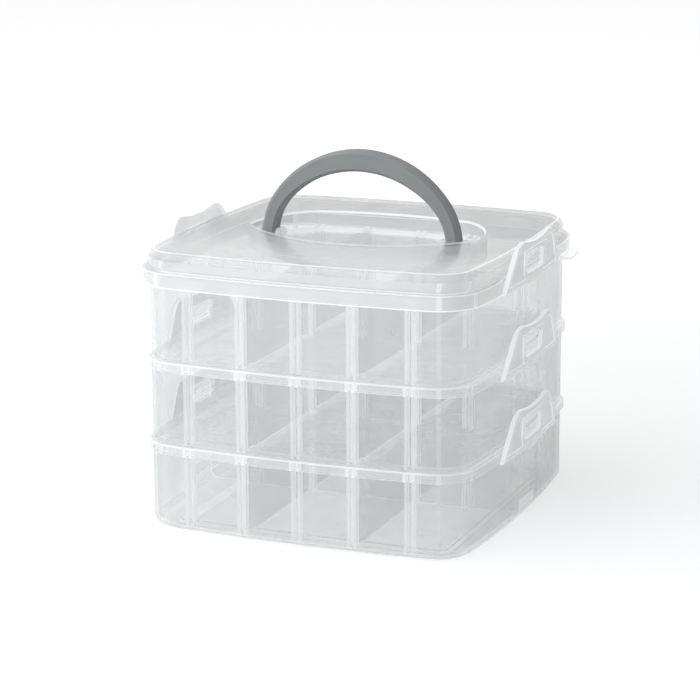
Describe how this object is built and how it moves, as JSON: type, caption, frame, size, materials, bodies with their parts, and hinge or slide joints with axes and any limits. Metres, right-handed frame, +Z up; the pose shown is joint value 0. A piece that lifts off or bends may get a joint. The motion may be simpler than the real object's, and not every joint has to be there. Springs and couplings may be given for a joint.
{
  "type": "stackable craft storage box",
  "caption": "Square clear box of stacking compartment trays with removable dividers, hinged side latches, a raised lid and an arched carry handle that folds into the lid.",
  "frame": {"origin": "centre of the flat foot panel that the bottom tray stands on", "axes": "+Z up, +X towards the right latches, along the carry handle's hinge; the handle folds back to +Y, and -Y is the front"},
  "size_m": [0.164, 0.1578, 0.1583],
  "materials": {
    "clear_tray": "clear, glossy, moulded",
    "clear_lid": "clear, glossy, moulded",
    "clear_latch": "clear, glossy, moulded",
    "clear_divider": "clear, glossy, moulded",
    "handle_grey": "satin grey"
  },
  "bodies": {
    "bottom_tray": {"bottom_tray": "clear_tray"},
    "bottom_latch_left": {"bottom_latch_left": "clear_latch"},
    "bottom_latch_right": {"bottom_latch_right": "clear_latch"},
    "bottom_divider_front_left": {"bottom_divider_front_left": "clear_divider"},
    "bottom_divider_front_right": {"bottom_divider_front_right": "clear_divider"},
    "bottom_divider_back_left": {"bottom_divider_back_left": "clear_divider"},
    "bottom_divider_back_right": {"bottom_divider_back_right": "clear_divider"},
    "middle_tray": {"middle_tray": "clear_tray"},
    "middle_latch_left": {"middle_latch_left": "clear_latch"},
    "middle_latch_right": {"middle_latch_right": "clear_latch"},
    "middle_divider_front_left": {"middle_divider_front_left": "clear_divider"},
    "middle_divider_front_right": {"middle_divider_front_right": "clear_divider"},
    "middle_divider_back_left": {"middle_divider_back_left": "clear_divider"},
    "middle_divider_back_right": {"middle_divider_back_right": "clear_divider"},
    "top_tray": {"top_tray": "clear_tray"},
    "top_latch_left": {"top_latch_left": "clear_latch"},
    "top_latch_right": {"top_latch_right": "clear_latch"},
    "top_divider_front_left": {"top_divider_front_left": "clear_divider"},
    "top_divider_front_right": {"top_divider_front_right": "clear_divider"},
    "top_divider_back_left": {"top_divider_back_left": "clear_divider"},
    "top_divider_back_right": {"top_divider_back_right": "clear_divider"},
    "lid": {"lid": "clear_lid"},
    "carry_handle": {"carry_handle": "handle_grey"}
  },
  "joints": [
    {"name": "middle_tray_lift", "type": "slide", "parent": "bottom_tray", "child": "middle_tray", "axis": [0, 0, 1], "range_m": [0, 0.09]},
    {"name": "bottom_latch_left_hinge", "type": "hinge", "parent": "bottom_tray", "child": "bottom_latch_left", "pos_m": [-0.07775, 0, 0.0339], "axis": [0, -1, 0], "range_deg": [-3, 21], "stiffness_Nm_per_rad": 0.3},
    {"name": "bottom_latch_right_hinge", "type": "hinge", "parent": "bottom_tray", "child": "bottom_latch_right", "pos_m": [0.07775, 0, 0.0339], "axis": [0, 1, 0], "range_deg": [-3, 21], "stiffness_Nm_per_rad": 0.3},
    {"name": "bottom_divider_front_left_slide", "type": "slide", "parent": "bottom_tray", "child": "bottom_divider_front_left", "axis": [0, 0, 1], "range_m": [0, 0.045]},
    {"name": "bottom_divider_front_right_slide", "type": "slide", "parent": "bottom_tray", "child": "bottom_divider_front_right", "axis": [0, 0, 1], "range_m": [0, 0.045]},
    {"name": "bottom_divider_back_left_slide", "type": "slide", "parent": "bottom_tray", "child": "bottom_divider_back_left", "axis": [0, 0, 1], "range_m": [0, 0.045]},
    {"name": "bottom_divider_back_right_slide", "type": "slide", "parent": "bottom_tray", "child": "bottom_divider_back_right", "axis": [0, 0, 1], "range_m": [0, 0.045]},
    {"name": "top_tray_lift", "type": "slide", "parent": "middle_tray", "child": "top_tray", "axis": [0, 0, 1], "range_m": [0, 0.09]},
    {"name": "middle_latch_left_hinge", "type": "hinge", "parent": "middle_tray", "child": "middle_latch_left", "pos_m": [-0.07775, 0, 0.0704], "axis": [0, -1, 0], "range_deg": [-3, 21], "stiffness_Nm_per_rad": 0.3},
    {"name": "middle_latch_right_hinge", "type": "hinge", "parent": "middle_tray", "child": "middle_latch_right", "pos_m": [0.07775, 0, 0.0704], "axis": [0, 1, 0], "range_deg": [-3, 21], "stiffness_Nm_per_rad": 0.3},
    {"name": "middle_divider_front_left_slide", "type": "slide", "parent": "middle_tray", "child": "middle_divider_front_left", "axis": [0, 0, 1], "range_m": [0, 0.045]},
    {"name": "middle_divider_front_right_slide", "type": "slide", "parent": "middle_tray", "child": "middle_divider_front_right", "axis": [0, 0, 1], "range_m": [0, 0.045]},
    {"name": "middle_divider_back_left_slide", "type": "slide", "parent": "middle_tray", "child": "middle_divider_back_left", "axis": [0, 0, 1], "range_m": [0, 0.045]},
    {"name": "middle_divider_back_right_slide", "type": "slide", "parent": "middle_tray", "child": "middle_divider_back_right", "axis": [0, 0, 1], "range_m": [0, 0.045]},
    {"name": "lid_lift", "type": "slide", "parent": "top_tray", "child": "lid", "axis": [0, 0, 1], "range_m": [0, 0.09]},
    {"name": "top_latch_left_hinge", "type": "hinge", "parent": "top_tray", "child": "top_latch_left", "pos_m": [-0.07775, 0, 0.1069], "axis": [0, -1, 0], "range_deg": [-3, 21], "stiffness_Nm_per_rad": 0.3},
    {"name": "top_latch_right_hinge", "type": "hinge", "parent": "top_tray", "child": "top_latch_right", "pos_m": [0.07775, 0, 0.1069], "axis": [0, 1, 0], "range_deg": [-3, 21], "stiffness_Nm_per_rad": 0.3},
    {"name": "top_divider_front_left_slide", "type": "slide", "parent": "top_tray", "child": "top_divider_front_left", "axis": [0, 0, 1], "range_m": [0, 0.045]},
    {"name": "top_divider_front_right_slide", "type": "slide", "parent": "top_tray", "child": "top_divider_front_right", "axis": [0, 0, 1], "range_m": [0, 0.045]},
    {"name": "top_divider_back_left_slide", "type": "slide", "parent": "top_tray", "child": "top_divider_back_left", "axis": [0, 0, 1], "range_m": [0, 0.045]},
    {"name": "top_divider_back_right_slide", "type": "slide", "parent": "top_tray", "child": "top_divider_back_right", "axis": [0, 0, 1], "range_m": [0, 0.045]},
    {"name": "carry_handle_hinge", "type": "hinge", "parent": "lid", "child": "carry_handle", "pos_m": [0, 0, 0.118], "axis": [-1, 0, 0], "range_deg": [-45, 90]}
  ],
  "couplings": [
    {"joint": "bottom_divider_front_left_slide", "follows": "middle_tray_lift", "ratio": 0.5},
    {"joint": "bottom_divider_front_right_slide", "follows": "middle_tray_lift", "ratio": 0.5},
    {"joint": "bottom_divider_back_left_slide", "follows": "middle_tray_lift", "ratio": 0.5},
    {"joint": "bottom_divider_back_right_slide", "follows": "middle_tray_lift", "ratio": 0.5},
    {"joint": "middle_divider_front_left_slide", "follows": "top_tray_lift", "ratio": 0.5},
    {"joint": "middle_divider_front_right_slide", "follows": "top_tray_lift", "ratio": 0.5},
    {"joint": "middle_divider_back_left_slide", "follows": "top_tray_lift", "ratio": 0.5},
    {"joint": "middle_divider_back_right_slide", "follows": "top_tray_lift", "ratio": 0.5},
    {"joint": "top_divider_front_left_slide", "follows": "lid_lift", "ratio": 0.5},
    {"joint": "top_divider_front_right_slide", "follows": "lid_lift", "ratio": 0.5},
    {"joint": "top_divider_back_left_slide", "follows": "lid_lift", "ratio": 0.5},
    {"joint": "top_divider_back_right_slide", "follows": "lid_lift", "ratio": 0.5}
  ]
}
